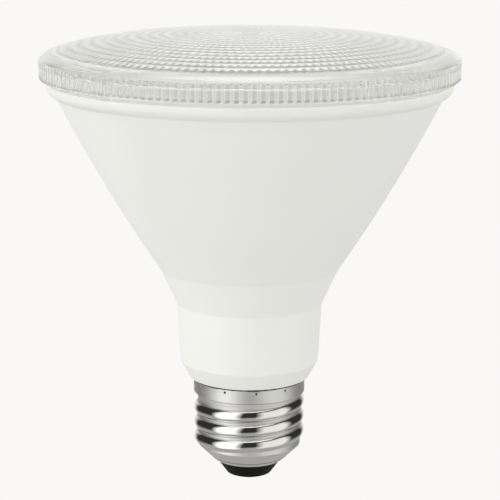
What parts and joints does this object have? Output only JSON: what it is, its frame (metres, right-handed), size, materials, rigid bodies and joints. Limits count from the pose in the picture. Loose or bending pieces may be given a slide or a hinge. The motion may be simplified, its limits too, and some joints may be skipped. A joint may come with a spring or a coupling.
{
  "type": "reflector spotlight bulb",
  "caption": "Reflector spotlight bulb: white moulded cone and neck on a medium screw base, closed by a clear domed lens with rings underneath and a ribbed rim.",
  "frame": {"origin": "tip of the centre contact, on the bulb's axis", "axes": "+Z along the bulb's axis from the contact to the lens; +X and +Y across it, the driver board lies in the XZ plane"},
  "size_m": [0.097, 0.097, 0.1067],
  "materials": {
    "lens_polycarbonate": "clear moulded polycarbonate",
    "housing_pbt": "white moulded PBT, semi-matte",
    "shell_nickel": "nickel-plated brass sheet, polished thread and satin collar",
    "insulator_black": "black moulded phenolic",
    "contact_nickel": "nickel-plated brass",
    "reflector_white": "white moulded polycarbonate, glossy",
    "cup_aluminium": "pressed aluminium",
    "led_board_white": "aluminium-core board with white solder mask",
    "led_phosphor": "yellow phosphor",
    "screw_steel": "zinc-plated steel",
    "connector_white": "moulded nylon",
    "pin_tin": "tinned brass",
    "board_laminate": "glass-epoxy laminate",
    "ferrite": "sintered ferrite",
    "winding_tape": "copper winding under yellow tape",
    "capacitor_sleeve": "shrink sleeve on an aluminium can",
    "film_box": "epoxy-dipped film",
    "choke_ferrite": "ferrite drum with winding",
    "resistor_lacquer": "lacquered ceramic",
    "chip_epoxy": "moulded epoxy",
    "lead_red": "insulated copper wire",
    "lead_white": "insulated copper wire"
  },
  "bodies": {
    "root": {"front_lens": "lens_polycarbonate", "housing": "housing_pbt", "screw_shell": "shell_nickel", "base_insulator": "insulator_black", "center_contact": "contact_nickel", "reflector": "reflector_white", "heat_spreader": "cup_aluminium", "led_board": "led_board_white", "led_packages": "led_phosphor", "board_screws": "screw_steel", "output_socket": "connector_white", "output_pins": "pin_tin", "driver_board": "board_laminate", "transformer_core": "ferrite", "transformer_winding": "winding_tape", "bulk_capacitor": "capacitor_sleeve", "output_capacitor": "capacitor_sleeve", "film_capacitor": "film_box", "line_choke": "choke_ferrite", "fusible_resistor": "resistor_lacquer", "bridge_rectifier": "chip_epoxy", "driver_chip": "chip_epoxy", "live_lead": "lead_red", "neutral_lead": "lead_white"}
  },
  "joints": []
}
